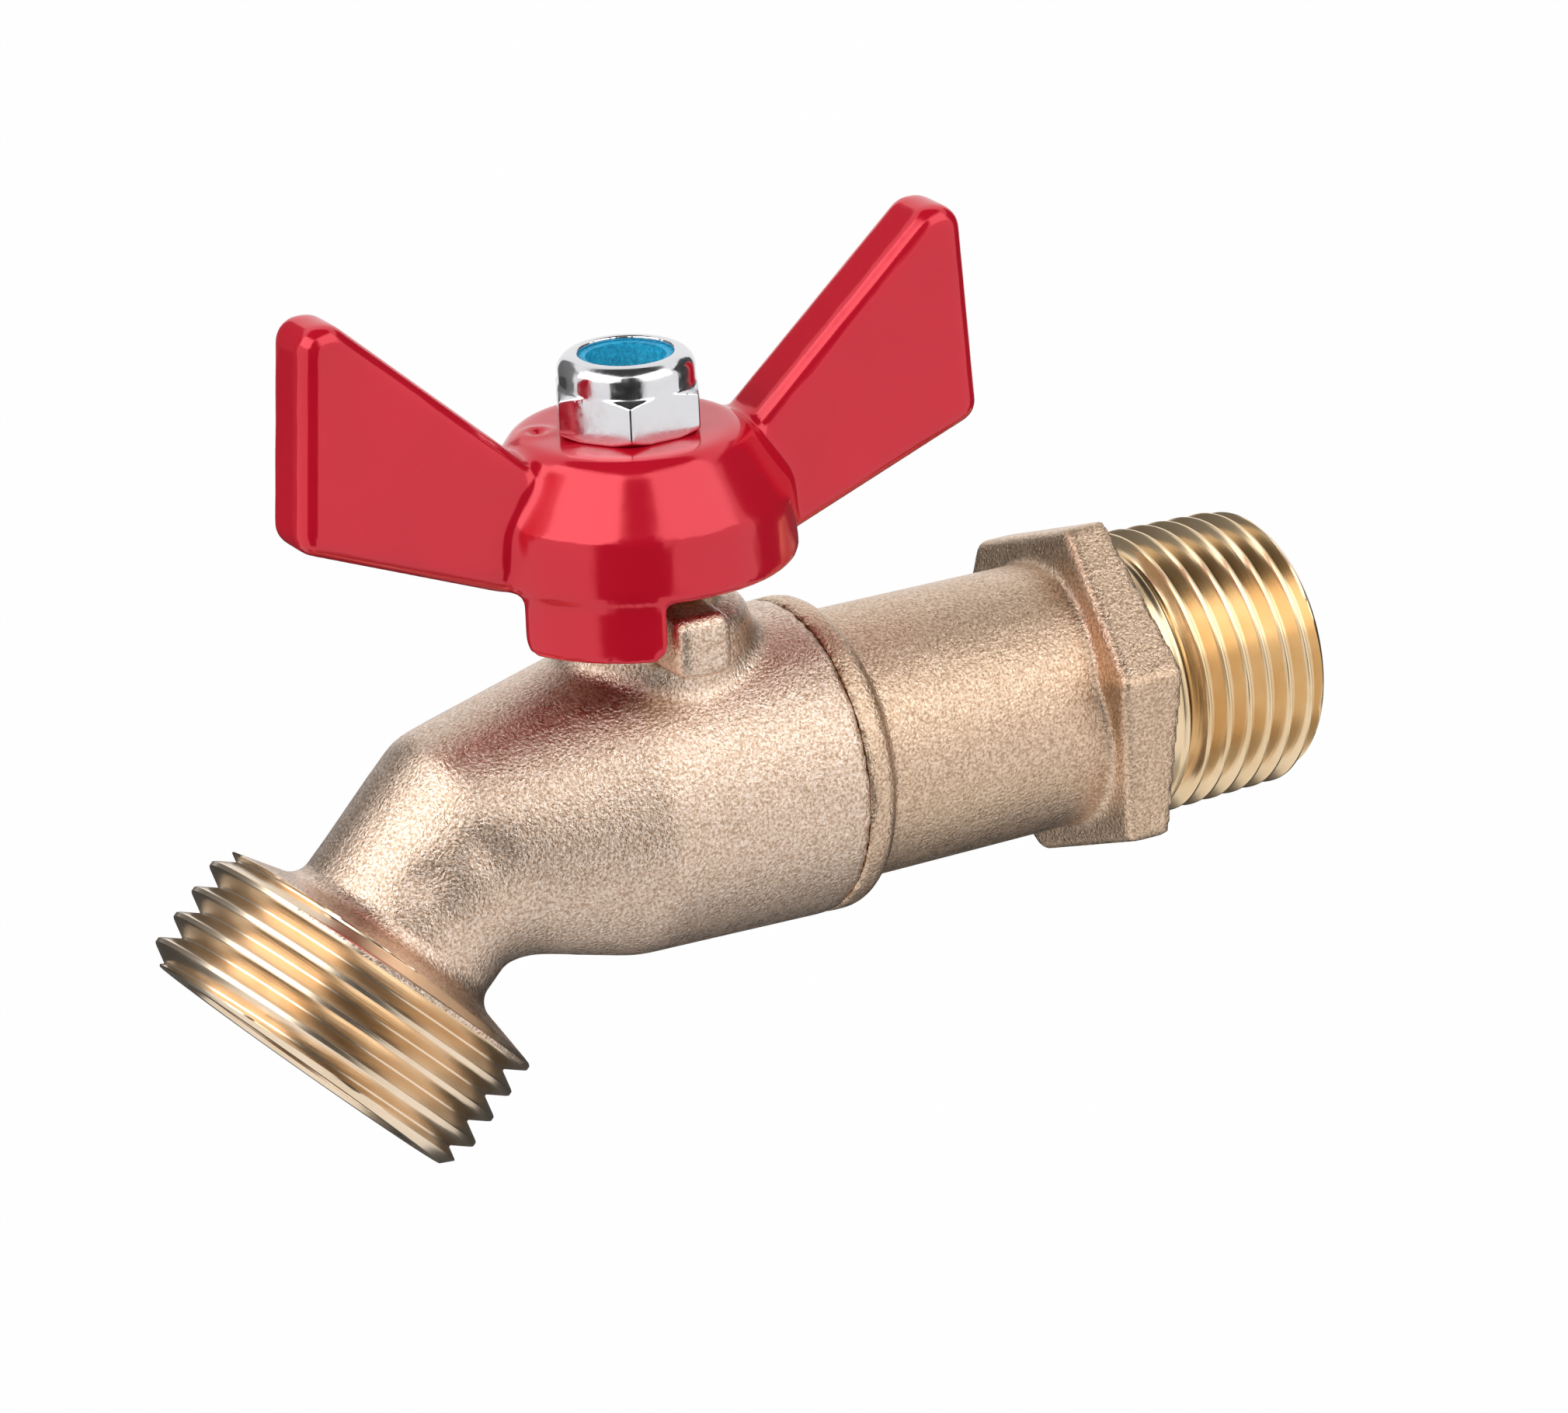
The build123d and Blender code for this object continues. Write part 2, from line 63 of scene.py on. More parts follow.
hose_start = 7.0 * mm
flare_round = 1.6 * mm
flare_round_start = 7.87 * mm
flare_round_end = 9.418 * mm
flare_rise = math.tan(math.radians(75))
hose_end = 20 * mm
hose_crest_r = 13.44 * mm
hose_pitch = 2.209 * mm
hose_depth = 1.38 * mm
hose_crest_flat = 0.42 * mm
hose_root_flat = 0.14 * mm
hose_crest_at = 12.3 * mm
hose_chamfer_start = 18.75 * mm
hose_lip = 11.5 * mm
mouth_r = 9.5 * mm
mouth_cone_start = 9.5 * mm
mouth_cone_end = 12.5 * mm
mouth_edge = 0.3 * mm
thread_edge = 0.05 * mm
thread_steps = 144
flank_steps = 7
cut_in_depth = 0.04 * mm
weld_gap = 0.002 * mm
rim_snap = 0.001 * mm
cut_snap = 1e-7
wear_share = 0.5
brass_sharp = 32
speckle_scale = 4600
dull_scale = 900
dull_least = 0.22
dull_plain = 0.36
dull_most = 0.34
wave_scale = 240
wave_height = 0.3 * mm
wave_strength = 0.25
grain_scale = 4200
grain_height = 0.1 * mm
ring_scale = 9000
ring_height = 0.02 * mm
ring_strength = 0.35
tarnish_scale = 220
body_dark = (0.51, 0.35, 0.24)
body_middle = (0.76, 0.57, 0.44)
body_light = (0.92, 0.75, 0.63)
hose_shine = 0.24
hose_dark = (0.78, 0.61, 0.43)
hose_light = (0.86, 0.70, 0.53)


def merged_copy(node):
    """The node's own mesh with its loose triangles joined."""
    bm = bmesh.new()
    bm.from_mesh(nodes[node].data)
    bmesh.ops.remove_doubles(bm, verts=bm.verts, dist=weld_gap)
    return bm


def softened(bm, grain, passes):
    """The same closed form with its edges worn soft, as blasting or dipping leaves them."""
    rough = bpy.data.meshes.new("rough")
    bm.to_mesh(rough)
    bm.free()
    holder = bpy.data.objects.new("rough", rough)
    bpy.context.scene.collection.objects.link(holder)
    skin = holder.modifiers.new("skin", "REMESH")
    skin.mode = "VOXEL"
    skin.voxel_size = grain
    wear = holder.modifiers.new("wear", "SMOOTH")
    wear.factor = wear_share
    wear.iterations = passes
    finished = holder.evaluated_get(bpy.context.evaluated_depsgraph_get())
    worn = bpy.data.meshes.new_from_object(finished)
    bpy.data.objects.remove(holder)
    soft = bmesh.new()
    soft.from_mesh(worn)
    return soft


def smooth_again(bm, verts, passes):
    """Wears one place more than the rest."""
    for _ in range(passes):
        bmesh.ops.smooth_vert(
            bm, verts=verts, factor=wear_share, use_axis_x=True, use_axis_y=True, use_axis_z=True,
        )


def thread_tooth(pitch, depth, crest_flat, root_flat):
    """One pitch of the thread from crest to crest, as (distance along, drop below crest) points."""
    flank = (pitch - crest_flat - root_flat) / 2
    edge_at = crest_flat / 2
    half = [(0, 0), (edge_at - thread_edge, 0), (edge_at + thread_edge, 2 * thread_edge)]
    half += [
        (edge_at + flank * part / flank_steps, depth * part / flank_steps)
        for part in range(1, flank_steps + 1)
    ]
    back = [(pitch - along, drop) for along, drop in reversed(half[1:])]
    return half + [(pitch / 2, depth)] + back


def threaded_skin(tooth, pitch, crest_r, crest_at, low, high, outline):
    """Outside of a threaded end about the Z axis, cut off square at both ends."""
    end = bmesh.new()
    first = math.floor((low - crest_at) / pitch) - 2
    last = math.ceil((high - crest_at) / pitch) + 2
    profile = []
    for turn in range(first, last):
        for along, drop in tooth:
            profile.append(end.verts.new((crest_r - drop, 0, crest_at + turn * pitch + along)))
    chain = [end.edges.new(pair) for pair in zip(profile, profile[1:])]
    bmesh.ops.spin(
        end, geom=profile + chain, cent=(0, 0, 0), axis=(0, 0, 1),
        dvec=(0, 0, pitch / thread_steps), angle=math.tau, steps=thread_steps,
    )
    bmesh.ops.remove_doubles(end, verts=end.verts, dist=weld_gap)
    for height, side in ((low, -1), (high, 1)):
        whole = end.verts[:] + end.edges[:] + end.faces[:]
        bmesh.ops.bisect_plane(
            end, geom=whole, dist=cut_snap,
            plane_co=(0, 0, height), plane_no=(0, 0, side), clear_outer=True,
        )
    for vert in end.verts:
        radius = math.hypot(vert.co.x, vert.co.y)
        share = outline(radius, vert.co.z) / radius
        vert.co.x *= share
        vert.co.y *= share
    return end


def carry_rim_on(end, line):
    """Carries the upper rim on through (radius, height) points, over the end face and into the bore."""
    top = max(vert.co.z for vert in end.verts)
    rim = [
        edge for edge in end.edges
        if edge.is_boundary and min(vert.co.z for vert in edge.verts) > top - rim_snap
    ]
    for radius, height in line:
        made = bmesh.ops.extrude_edge_only(end, edges=rim)["geom"]
        rim = [part for part in made if isinstance(part, bmesh.types.BMEdge) and part.is_boundary]
        for vert in {vert for edge in rim for vert in edge.verts}:
            share = radius / math.hypot(vert.co.x, vert.co.y)
            vert.co = (vert.co.x * share, vert.co.y * share, height)


def join(bm, end, place):
    """Puts the end where it belongs and adds it to the mesh."""
    bmesh.ops.transform(end, matrix=place, verts=end.verts)
    part = bpy.data.meshes.new("part")
    end.to_mesh(part)
    end.free()
    bm.from_mesh(part)


def bridge_rims(bm, place, wall):
    """Closes the gap between the forging's rims and the turned end's, outside and in the bore."""
    back = place.inverted()
    outer = []
    inner = []
    for edge in bm.edges:
        if edge.is_boundary:
            middle = back @ ((edge.verts[0].co + edge.verts[1].co) / 2)
            side = outer if math.hypot(middle.x, middle.y) > wall else inner
            side.append(edge)
    made = []
    for rims in (outer, inner):
        made += bmesh.ops.bridge_loops(bm, edges=rims)["faces"]
    return made


def add_piece(name, bm, materials, body, node, sharp):
    """Makes the finished object, which stands for one node and moves with its body."""
    mesh = bpy.data.meshes.new(name)
    bmesh.ops.recalc_face_normals(bm, faces=bm.faces)
    bm.to_mesh(mesh)
    bm.free()
    for material in materials:
        mesh.materials.append(material)
    mesh.shade_smooth()
    mesh.set_sharp_from_angle(angle=math.radians(sharp))
    piece = bpy.data.objects.new(name, mesh)
    bpy.context.scene.collection.objects.link(piece)
    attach(piece, body)
    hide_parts(node)
    return piece


def surface(name, colour, metallic, roughness):
    """A new material, its shader and its Object coordinates."""
    material = bpy.data.materials.new(name)
    material.use_nodes = True
    shader = material.node_tree.nodes["Principled BSDF"]
    shader.inputs["Base Color"].default_value = (*colour, 1)
    shader.inputs["Metallic"].default_value = metallic
    shader.inputs["Roughness"].default_value = roughness
    place = material.node_tree.nodes.new("ShaderNodeTexCoord").outputs["Object"]
    return material, shader, place


def noise(material, place, scale, detail, roughness=0.5):
    """Noise whose spots are about 1 / scale metres across."""
    spots = material.node_tree.nodes.new("ShaderNodeTexNoise")
    spots.inputs["Scale"].default_value = scale
    spots.inputs["Detail"].default_value = detail
    spots.inputs["Roughness"].default_value = roughness
    material.node_tree.links.new(place, spots.inputs["Vector"])
    return spots.outputs["Fac"]


def ramp(material, factor, stops):
    """Colours or greys along a factor, as (position, colour) stops."""
    scale = material.node_tree.nodes.new("ShaderNodeValToRGB")
    scale.color_ramp.elements[0].position = stops[0][0]
    scale.color_ramp.elements[0].color = (*stops[0][1], 1)
    scale.color_ramp.elements[1].position = stops[-1][0]
    scale.color_ramp.elements[1].color = (*stops[-1][1], 1)
    for position, colour in stops[1:-1]:
        scale.color_ramp.elements.new(position).color = (*colour, 1)
    material.node_tree.links.new(factor, scale.inputs["Fac"])
    return scale.outputs["Color"]


def grey(level):
    """A grey of this level, for a colour or for a value along a ramp."""
    return (level, level, level)


def bump(material, shader, height, distance, strength, under=None):
    """Raises the surface by a height, over an earlier bump if there is one."""
    relief = material.node_tree.nodes.new("ShaderNodeBump")
    relief.inputs["Distance"].default_value = distance
    relief.inputs["Strength"].default_value = strength
    material.node_tree.links.new(height, relief.inputs["Height"])
    if under is not None:
        material.node_tree.links.new(under, relief.inputs["Normal"])
    material.node_tree.links.new(relief.outputs["Normal"], shader.inputs["Normal"])
    return relief.outputs["Normal"]


def blasted_brass(name, dark, middle, light):
    """Champagne brass with a fine blasted grain, soft waves and faint stains."""
    material, shader, place = surface(name, middle, 1, dull_plain)
    speckle = noise(material, place, speckle_scale, 2, 0.6)
    tint = ramp(material, speckle, [(0.36, dark), (0.5, middle), (0.64, light)])
    material.node_tree.links.new(tint, shader.inputs["Base Color"])
    clouds = noise(material, place, dull_scale, 3)
    dull = ramp(material, clouds, [(0.3, grey(dull_least)), (0.7, grey(dull_most))])
    material.node_tree.links.new(dull, shader.inputs["Roughness"])
    waves = bump(material, shader, noise(material, place, wave_scale, 2), wave_height, wave_strength)
    bump(material, shader, noise(material, place, grain_scale, 3, 0.6), grain_height, 1.0, waves)
    return material


def turned_brass(name, way, shine, dark, light):
    """Bright golden brass with the fine rings that a lathe tool leaves along this direction."""
    material, shader, place = surface(name, light, 1, shine)
    along = material.node_tree.nodes.new("ShaderNodeVectorMath")
    along.operation = "DOT_PRODUCT"
    along.inputs[1].default_value = way
    material.node_tree.links.new(place, along.inputs[0])
    rings = material.node_tree.nodes.new("ShaderNodeTexNoise")
    rings.noise_dimensions = "1D"
    rings.inputs["Scale"].default_value = ring_scale
    rings.inputs["Detail"].default_value = 2
    material.node_tree.links.new(along.outputs["Value"], rings.inputs["W"])
    stains = noise(material, place, tarnish_scale, 4)
    tarnish = ramp(material, stains, [(0.35, dark), (0.60, light)])
    material.node_tree.links.new(tarnish, shader.inputs["Base Color"])
    bump(material, shader, rings.outputs["Fac"], ring_height, ring_strength)
    return material


def flare_limit(radius, height):
    """Keeps the hose end inside the flange's flare and the chamfer at its mouth."""
    if height < flare_round_start:
        flare = spout_r
    elif height < flare_round_end:
        rise = height - flare_round_start
        flare = spout_r + flare_round - math.sqrt(flare_round ** 2 - rise ** 2)
    else:
        rise = flare_round_end - flare_round_start
        end = spout_r + flare_round - math.sqrt(flare_round ** 2 - rise ** 2)
        flare = end + (height - flare_round_end) * flare_rise
    return min(radius, flare, hose_crest_r - max(0, height - hose_chamfer_start))


body_skin = softened(merged_copy("valve_body"), body_grain, body_soft_passes)
bend_verts = [v for v in body_skin.verts if abs((v.co - spout_corner).dot(bend_way)) < bend_reach]
smooth_again(body_skin, bend_verts, bend_soft_passes)
body_skin.normal_update()
for dent_place in dent_places:
    for vert in body_skin.verts:
        away = (vert.co - dent_place).length / dent_r
        if away < dent_reach:
            vert.co -= vert.normal * dent_depth * math.exp(-away ** 2)
bmesh.ops.bisect_plane(
    body_skin, geom=body_skin.verts[:] + body_skin.edges[:] + body_skin.faces[:], dist=cut_snap,
    plane_co=spout_corner + spout_way * spout_cut, plane_no=spout_way, clear_outer=True,
)
hose_tooth = thread_tooth(hose_pitch, hose_depth, hose_crest_flat, hose_root_flat)
hose_skin = threaded_skin(
    hose_tooth, hose_pitch, hose_crest_r, hose_crest_at, hose_start, hose_end, flare_limit,
)
for face in hose_skin.faces:
    middle = face.calc_center_median()
    cut_in = math.hypot(middle.x, middle.y) < flare_limit(hose_crest_r, middle.z) - cut_in_depth
    face.material_index = 1 if cut_in or middle.z > hose_lip else 0
carry_rim_on(hose_skin, [
    (mouth_r + mouth_edge, hose_end),
    (mouth_r, hose_end - mouth_edge),
    (mouth_r, mouth_cone_end),
    (spout_bore_r, mouth_cone_start),
    (spout_bore_r, hose_start),
])
join(body_skin, hose_skin, spout_place)
bridge_rims(body_skin, spout_place, (spout_r + spout_bore_r) / 2)
body_brass = blasted_brass("blasted_body", body_dark, body_middle, body_light)
hose_brass = turned_brass("turned_hose_end", spout_way, hose_shine, hose_dark, hose_light)
add_piece(
    "forged_body", body_skin, [body_brass, hose_brass], "valve", "valve_body", brass_sharp,
)


# Seats, thrust washer and packing rings: white seal plastic, turned and pressed in round the ball and
# the stem. They are hidden in the closed valve.
seal_white = (0.88, 0.88, 0.86)
seal_shaded = (0.80, 0.80, 0.77)
seal_pale = (0.92, 0.92, 0.90)


def dress(node, material):
    """Gives a piece that keeps its CAD mesh its finish."""
    nodes[node].data.materials.clear()
    nodes[node].data.materials.append(material)


seal_plastic, seal_shader, seal_place = surface("seal_plastic", seal_white, 0, 0.45)
seal_noise = noise(seal_plastic, seal_place, 600, 3)
seal_cloud = ramp(seal_plastic, seal_noise, [(0.3, seal_shaded), (0.7, seal_pale)])
seal_plastic.node_tree.links.new(seal_cloud, seal_shader.inputs["Base Color"])
bump(seal_plastic, seal_shader, noise(seal_plastic, seal_place, 4000, 2), 0.02 * mm, 0.3)
for ring in ("inlet_seat", "outlet_seat", "thrust_washer", "packing_lower", "packing_upper"):
    dress(ring, seal_plastic)


# Ball: brass, ground round and plated, with the waterway through it and the stem's slot on top. It lies
# between the two seats, and the stem turns it by the slot.
ball_silver = (0.80, 0.81, 0.83)
ball_plate, ball_shader, ball_place = surface("ball_plate", ball_silver, 1, 0.07)
ball_noise = noise(ball_plate, ball_place, 500, 4)
ball_haze = ramp(ball_plate, ball_noise, [(0.35, grey(0.05)), (0.75, grey(0.14))])
ball_plate.node_tree.links.new(ball_haze, ball_shader.inputs["Roughness"])
dress("ball", ball_plate)


# Stem and gland nut: turned from brass bar. The nut presses the packing from above, and both are hidden
# by the handle's cup.
bar_way = Vector((0, 0, 1))
bar_shine = 0.25
bar_dark = (0.76, 0.55, 0.32)
bar_light = (0.84, 0.65, 0.42)
turned_stem = turned_brass("turned_stem", bar_way, bar_shine, bar_dark, bar_light)
for bar_piece in ("stem", "gland_nut"):
    dress(bar_piece, turned_stem)


# Inlet adapter: a brass forging screwed into the barrel, with a rounded collar, a drafted tube and a
# blasted hex. Beyond the hex it is turned down and carries a taper pipe thread.
inlet_place = Matrix(((0, 0, 1), (0, 1, 0), (-1, 0, 0))).to_4x4()
adapter_grain = 0.3 * mm
adapter_soft_passes = 4
inlet_cut = -5.7 * mm
inlet_start = -5.4 * mm
hex_end = -6.35 * mm
inlet_relief_r = 10.2 * mm
inlet_relief_margin = 0.3 * mm
inlet_thread_start = -4.9 * mm
inlet_end = 8.1 * mm
inlet_pitch = 1.814 * mm
inlet_crest_r = 10.56 * mm
inlet_taper = 1 / 32
inlet_depth = 1.1 * mm
inlet_crest_flat = 0.26 * mm
inlet_root_flat = 0.28 * mm
inlet_crest_at = 1.47 * mm
inlet_chamfer_start = 7.3 * mm
inlet_chamfer_slope = 0.9
inlet_bore_r = 6.5 * mm
inlet_bore_edge = 0.35 * mm
inlet_way = Vector((1, 0, 0))
inlet_shine = 0.22
inlet_dark = (0.76, 0.55, 0.32)
inlet_light = (0.84, 0.65, 0.42)
adapter_dark = (0.48, 0.325, 0.21)
adapter_middle = (0.71, 0.51, 0.36)
adapter_light = (0.87, 0.66, 0.50)


def taper_limit(radius, height):
    """Narrows the thread towards its end, fades it into the relief and chamfers the mouth."""
    tapered = radius - height * inlet_taper
    fade = min(1, max(0, (height - inlet_thread_start) / inlet_pitch))
    faded = inlet_relief_r + (tapered - inlet_relief_r) * fade
    chamfer = max(0, height - inlet_chamfer_start) * inlet_chamfer_slope
    return min(faded, inlet_crest_r - inlet_taper * height - chamfer)


adapter_skin = softened(merged_copy("inlet_adapter"), adapter_grain, adapter_soft_passes)
bmesh.ops.bisect_plane(
    adapter_skin, geom=adapter_skin.verts[:] + adapter_skin.edges[:] + adapter_skin.faces[:],
    dist=cut_snap, plane_co=(inlet_cut, 0, 0), plane_no=inlet_way, clear_outer=True,
)
inlet_tooth = thread_tooth(inlet_pitch, inlet_depth, inlet_crest_flat, inlet_root_flat)
for face in adapter_skin.faces:
    middle = face.calc_center_median()
    near_axis = math.hypot(middle.y, middle.z) < inlet_relief_r + inlet_relief_margin
    face.material_index = 1 if middle.x > hex_end and near_axis else 0
inlet_skin = threaded_skin(
    inlet_tooth, inlet_pitch, inlet_crest_r, inlet_crest_at, inlet_start, inlet_end, taper_limit,
)
carry_rim_on(inlet_skin, [
    (inlet_bore_r + inlet_bore_edge, inlet_end),
    (inlet_bore_r, inlet_end - inlet_bore_edge),
    (inlet_bore_r, inlet_start),
])
for face in inlet_skin.faces:
    face.material_index = 1
join(adapter_skin, inlet_skin, inlet_place)
for face in bridge_rims(adapter_skin, inlet_place, (inlet_relief_r + inlet_bore_r) / 2):
    face.material_index = 1
adapter_brass = blasted_brass("blasted_adapter", adapter_dark, adapter_middle, adapter_light)
inlet_brass = turned_brass("turned_inlet_end", inlet_way, inlet_shine, inlet_dark, inlet_light)
add_piece(
    "turned_adapter", adapter_skin, [adapter_brass, inlet_brass],
    "valve", "inlet_adapter", brass_sharp,
)


# Butterfly handle: a cast handle with a cup-shaped hub, two wings and a stop tab, dipped in soft red
# plastic, which rounds every edge and runs together in the corners. A burst bubble left a pit on top.
handle_grain = 0.3 * mm
handle_soft_passes = 6
handle_axis_x = -44.4 * mm
wing_root_near = 8 * mm
wing_root_far = 14 * mm
wing_root_half = 5.5 * mm
wing_root_passes = 26
root_fill_share = 0.5
pit_place = Vector((-50.45, 2.63, 27.75)) * mm
pit_r = 0.55 * mm
pit_depth = 0.3 * mm
pit_reach = 4
pit_rim_at = 1.6
pit_rim_share = 0.45
smooth_sharp = 60
red_middle = (0.70, 0.007, 0.028)
red_deep = (0.67, 0.006, 0.026)
red_thin = (0.73, 0.009, 0.031)
red_dip, red_shader, red_place = surface("red_dip", red_middle, 0.25, 0.15)
red_noise = noise(red_dip, red_place, 120, 3)
red_depth = ramp(red_dip, red_noise, [(0.3, red_deep), (0.7, red_thin)])
red_dip.node_tree.links.new(red_depth, red_shader.inputs["Base Color"])
red_shader.inputs["IOR"].default_value = 1.5
red_shader.inputs["Specular IOR Level"].default_value = 0.65
red_flow = bump(red_dip, red_shader, noise(red_dip, red_place, 170, 2), 0.25 * mm, 0.3)
bump(red_dip, red_shader, noise(red_dip, red_place, 1800, 2), 0.02 * mm, 0.06, red_flow)


def fill_corners(verts, passes):
    """Lets the dip run together in the hollow corners and leaves the round edges alone."""
    for _ in range(passes):
        moves = []
        for vert in verts:
            around = [edge.other_vert(vert).co for edge in vert.link_edges]
            pull = sum(around, Vector()) / len(around) - vert.co
            if pull.dot(vert.normal) > 0:
                moves.append((vert, pull))
        for vert, pull in moves:
            vert.co += pull * root_fill_share


handle_skin = softened(merged_copy("butterfly_handle"), handle_grain, handle_soft_passes)
handle_skin.normal_update()
root_verts = [
    v for v in handle_skin.verts
    if wing_root_near < abs(v.co.x - handle_axis_x) < wing_root_far and abs(v.co.y) < wing_root_half
]
fill_corners(root_verts, wing_root_passes)
for vert in handle_skin.verts:
    away = (vert.co - pit_place).length / pit_r
    if away < pit_reach:
        pit_rim = pit_rim_share * math.exp(-(away - pit_rim_at) ** 2)
        vert.co.z += pit_depth * (pit_rim - math.exp(-away ** 2))
add_piece("dipped_handle", handle_skin, [red_dip], "handle", "butterfly_handle", smooth_sharp)


# Locking nut: a plated steel hex nut whose round collar is rolled over a nylon ring. It is screwed onto the
# top of the stem and holds the handle down.
nut_grain = 0.12 * mm
nut_soft_passes = 4
nut_silver = (0.74, 0.73, 0.75)
nut_plate, nut_shader, nut_place = surface("nut_plate", nut_silver, 1, 0.15)
nut_noise = noise(nut_plate, nut_place, 900, 5, 0.65)
nut_haze = ramp(nut_plate, nut_noise, [(0.35, grey(0.08)), (0.75, grey(0.30))])
nut_plate.node_tree.links.new(nut_haze, nut_shader.inputs["Roughness"])
bump(nut_plate, nut_shader, noise(nut_plate, nut_place, 700, 4), 0.06 * mm, 0.2)
nut_skin = softened(merged_copy("lock_nut"), nut_grain, nut_soft_passes)
add_piece("plated_nut", nut_skin, [nut_plate], "handle", "lock_nut", smooth_sharp)


# Nut insert: the blue nylon ring that grips the stem's thread, held in the nut's rolled collar. Its edge is
# a little furry.
blue_middle = (0.01, 0.24, 0.46)
blue_deep = (0.004, 0.26, 0.50)
blue_pale = (0.02, 0.56, 0.90)
blue_nylon, blue_shader, blue_place = surface("blue_nylon", blue_middle, 0, 0.5)
blue_fur = noise(blue_nylon, blue_place, 3500, 4, 0.7)
blue_tint = ramp(blue_nylon, blue_fur, [(0.35, blue_deep), (0.65, blue_pale)])
blue_nylon.node_tree.links.new(blue_tint, blue_shader.inputs["Base Color"])
bump(blue_nylon, blue_shader, blue_fur, 0.1 * mm, 0.6)
dress("nut_insert", blue_nylon)


# Studio: a wide white floor well below the valve, which hangs in the air as if on its pipe, and a large soft
# lamp on each side of the camera. Cards that the camera doesn't see give the metal darker things to mirror:
# a screen behind the camera, a ceiling, flags at both sides and low behind, a near-black strip on the floor
# in front, and a grey patch on the floor under the valve, which is a painted shadow that only reflections
# show.
valve_middle = Vector((-44.4, 0, 8)) * mm
view_turn = math.radians(30.146)
view_tilt = math.radians(19.91)
view_roll = math.radians(-2.342)
towards_camera = Vector((-math.sin(view_turn), -math.cos(view_turn), 0))
towards_right = Vector((math.cos(view_turn), -math.sin(view_turn), 0))
camera_place = Vector((-340.763, -530.618, 226.119)) * mm
camera_sensor = 36
camera_lens = 206.35
floor_drop = 0.4
floor_r = 4
floor_white = 0.88
floor_glow_share = 0.96
room_least = 0.95
room_most = 1.0
card_roughness = 0.9
screen_distance = 0.85
screen_shade = 0.03
screen_outline = (
    (-0.43, -floor_drop),
    (0.43, -floor_drop),
    (0.43, 0.33),
    (0.34, 0.36),
    (0.34, 1.0),
    (-0.13, 1.0),
    (-0.13, 0.36),
    (-0.43, 0.33),
)
ceiling_height = 0.9
ceiling_r = 0.58
ceiling_shade = 0.05
strip_height = 0.01 - floor_drop


def upwards(height):
    """Straight up by this much."""
    return Vector((0, 0, height))


def level_way(turn):
    """The level direction that lies this many degrees to the right of the camera."""
    angle = math.radians(turn)
    return towards_camera * math.cos(angle) + towards_right * math.sin(angle)


def add_card(name, bm, shade):
    """A plain grey stage surface that the camera doesn't see."""
    data = bpy.data.meshes.new(name)
    bm.to_mesh(data)
    bm.free()
    card = bpy.data.objects.new(name, data)
    bpy.context.scene.collection.objects.link(card)
    paint = bpy.data.materials.new(name)
    paint.use_nodes = True
    paint_shader = paint.node_tree.nodes["Principled BSDF"]
    paint_shader.inputs["Base Color"].default_value = (*grey(shade), 1)
    paint_shader.inputs["Roughness"].default_value = card_roughness
    data.materials.append(paint)
    card.visible_camera = False


def add_flat_card(name, shade, corners):
    """A card with these corners, measured from the middle of the valve."""
    flat = bmesh.new()
    flat.faces.new([flat.verts.new(valve_middle + corner) for corner in corners])
    add_card(name, flat, shade)


def ray_kinds(tree, kinds):
    """Adds up what Light Path says to these kinds of ray."""
    path = tree.nodes.new("ShaderNodeLightPath")
    total = path.outputs[kinds[0]]
    for kind in kinds[1:]:
        adder = tree.nodes.new("ShaderNodeMath")
        adder.operation = "ADD"
        tree.links.new(total, adder.inputs[0])
        tree.links.new(path.outputs[kind], adder.inputs[1])
        total = adder.outputs["Value"]
    return total


add_flat_card("camera_screen", screen_shade, [
    towards_camera * screen_distance + towards_right * across + upwards(up)
    for across, up in screen_outline
])
# The grey card under the valve is a painted shadow on the floor, seen only in the metal's reflections.
for strip_name, shade, corners in (
    ("floor_flag", 0.03, ((0.36, -0.12), (0.85, -0.28), (0.85, 0.28), (0.36, 0.12))),
    ("painted_floor_shadow", 0.65, ((-0.12, 0.06), (0.14, 0.06), (0.14, 0.36), (-0.12, 0.36))),
):
    add_flat_card(strip_name, shade, [
        towards_camera * out + towards_right * across + upwards(strip_height)
        for out, across in corners
    ])
ceiling = bmesh.new()
bmesh.ops.create_circle(ceiling, cap_ends=True, segments=64, radius=ceiling_r)
bmesh.ops.translate(ceiling, verts=ceiling.verts, vec=valve_middle + upwards(ceiling_height))
add_card("dark_ceiling", ceiling, ceiling_shade)
for flag_name, turn, reach, half, top, shade in (
    ("left_flag", -125, 0.5, 0.27, 0.40, 0.25),
    ("right_flag", 122, 0.5, 0.25, 0.40, 0.05),
    ("low_flag", 180, 0.15, 0.30, -0.03, 0.05),
):
    out_way = level_way(turn)
    side_way = out_way.cross(upwards(1))
    add_flat_card(flag_name, shade, [
        out_way * reach + side_way * across + upwards(up)
        for across, up in ((-half, -floor_drop), (half, -floor_drop), (half, top), (-half, top))
    ])

floor_mesh = bmesh.new()
bmesh.ops.create_circle(floor_mesh, cap_ends=True, segments=96, radius=floor_r)
bmesh.ops.translate(floor_mesh, verts=floor_mesh.verts, vec=upwards(-floor_drop))
floor_data = bpy.data.meshes.new("floor")
floor_mesh.to_mesh(floor_data)
floor_mesh.free()
floor = bpy.data.objects.new("floor", floor_data)
bpy.context.scene.collection.objects.link(floor)
white_floor = bpy.data.materials.new("white_floor")
white_floor.use_nodes = True
floor_tree = white_floor.node_tree
floor_tree.nodes.remove(floor_tree.nodes["Principled BSDF"])
floor_paint = floor_tree.nodes.new("ShaderNodeBsdfDiffuse")
floor_paint.inputs["Color"].default_value = (*grey(floor_white), 1)
floor_glow = floor_tree.nodes.new("ShaderNodeEmission")
floor_share = floor_tree.nodes.new("ShaderNodeMath")
floor_share.operation = "MULTIPLY"
floor_share.inputs[1].default_value = floor_glow_share
floor_seen = ray_kinds(floor_tree, ("Is Camera Ray", "Is Glossy Ray"))
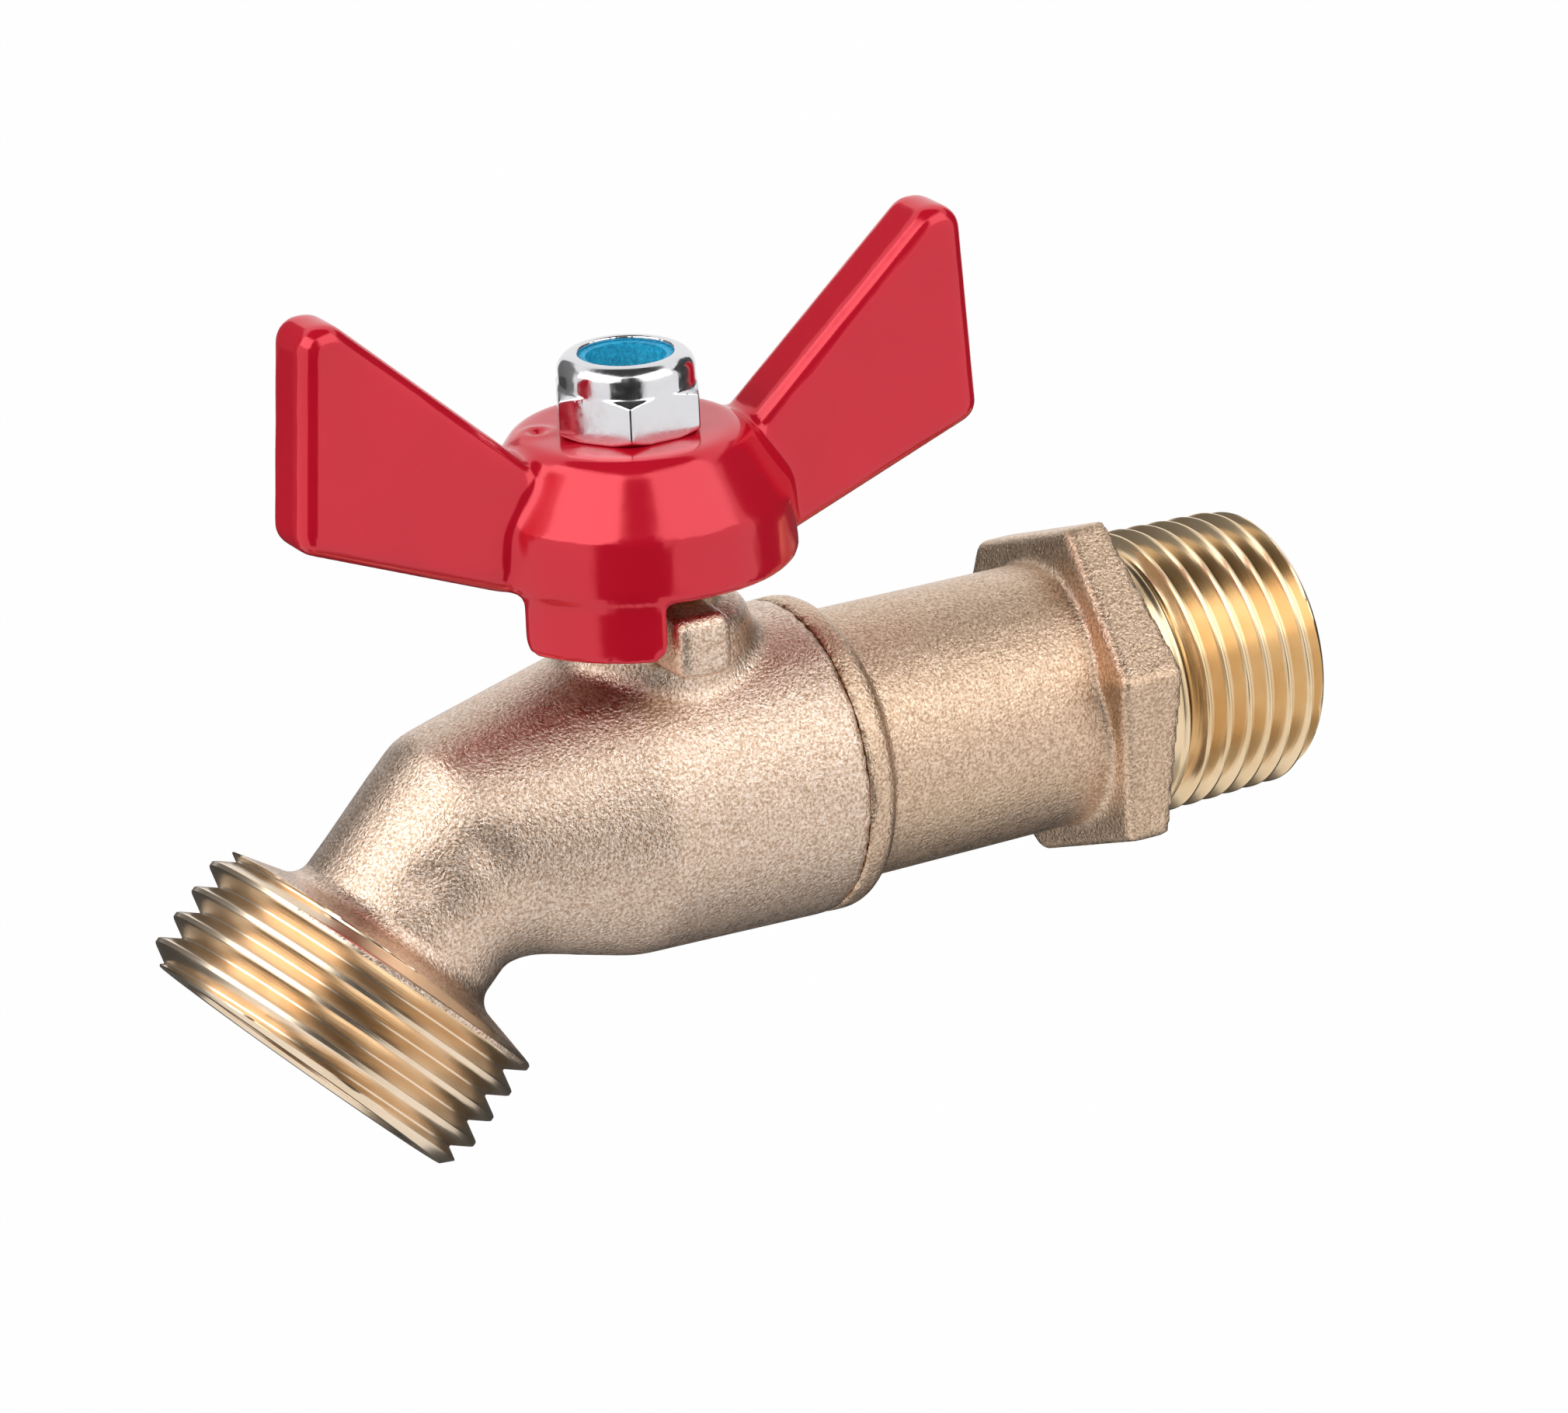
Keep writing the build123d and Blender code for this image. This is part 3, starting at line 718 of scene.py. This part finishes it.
floor_tree.links.new(floor_seen, floor_share.inputs[0])
floor_blend = floor_tree.nodes.new("ShaderNodeMixShader")
floor_tree.links.new(floor_share.outputs["Value"], floor_blend.inputs["Fac"])
floor_tree.links.new(floor_paint.outputs["BSDF"], floor_blend.inputs[1])
floor_tree.links.new(floor_glow.outputs["Emission"], floor_blend.inputs[2])
floor_surface = floor_tree.nodes["Material Output"].inputs["Surface"]
floor_tree.links.new(floor_blend.outputs["Shader"], floor_surface)
floor_data.materials.append(white_floor)

room = bpy.data.worlds.new("pale_room")
bpy.context.scene.world = room
room.use_nodes = True
room_tree = room.node_tree
room_light = room_tree.nodes["Background"]
room_light.inputs["Color"].default_value = (*grey(1), 1)
room_level = room_tree.nodes.new("ShaderNodeMapRange")
room_level.inputs["To Min"].default_value = room_least
room_level.inputs["To Max"].default_value = room_most
room_seen = ray_kinds(room_tree, ("Is Camera Ray", "Is Glossy Ray", "Is Transmission Ray"))
room_tree.links.new(room_seen, room_level.inputs["Value"])
room_tree.links.new(room_level.outputs["Result"], room_light.inputs["Strength"])

for lamp_name, turn, tilt, reach, width, height, power in (
    ("left_softbox", -55, 42, 0.9, 1.1, 0.72, 4.1),
    ("right_softbox", 59, 42, 0.9, 0.85, 0.72, 2.1),
):
    lamp = bpy.data.lights.new(lamp_name, "AREA")
    lamp.shape = "RECTANGLE"
    lamp.size = width
    lamp.size_y = height
    lamp.energy = power
    lift = math.radians(tilt)
    lamp_way = level_way(turn) * math.cos(lift) + upwards(math.sin(lift))
    softbox = bpy.data.objects.new(lamp_name, lamp)
    softbox.location = valve_middle + lamp_way * reach
    softbox.rotation_euler = (-lamp_way).to_track_quat("-Z", "Y").to_euler()
    bpy.context.scene.collection.objects.link(softbox)

camera_data = bpy.data.cameras.new("photo_camera")
camera_data.sensor_width = camera_sensor
camera_data.lens = camera_lens
camera = bpy.data.objects.new("photo_camera", camera_data)
camera.matrix_world = (
    Matrix.Translation(camera_place)
    @ Matrix.Rotation(-view_turn, 4, "Z")
    @ Matrix.Rotation(math.radians(90) - view_tilt, 4, "X")
    @ Matrix.Rotation(view_roll, 4, "Z")
)
bpy.context.scene.collection.objects.link(camera)
bpy.context.scene.camera = camera
bpy.context.scene.view_settings.view_transform = "Standard"
